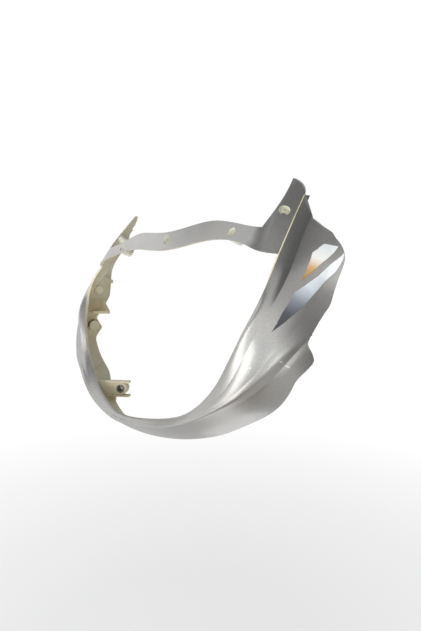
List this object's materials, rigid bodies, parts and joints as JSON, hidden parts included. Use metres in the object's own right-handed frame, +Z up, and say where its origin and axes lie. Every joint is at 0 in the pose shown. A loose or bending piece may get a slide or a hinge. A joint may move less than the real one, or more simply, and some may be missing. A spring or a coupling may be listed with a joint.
{
  "type": "motorbike headlight cowl",
  "caption": "One-piece moulded headlight cowl of a light motorbike, silver paint outside and bare cream plastic inside, with a screwed screen band, two raised horns and flared side panels.",
  "frame": {"origin": "mouth of the middle screen screw, on the front face of the screen band", "axes": "+X to the viewer's right from in front, -Y towards the front of the machine, +Z up"},
  "size_m": [0.2952, 0.0782, 0.1773],
  "materials": {
    "painted_shell": "metallic silver-grey lacquer outside, bare cream ABS inside",
    "bush_metal": "dull plated steel",
    "clip_steel": "blackened spring steel"
  },
  "bodies": {
    "root": {"cowl_shell": "painted_shell", "bush_left": "bush_metal", "bush_right": "bush_metal", "clip_left": "clip_steel", "clip_right": "clip_steel"}
  },
  "joints": []
}
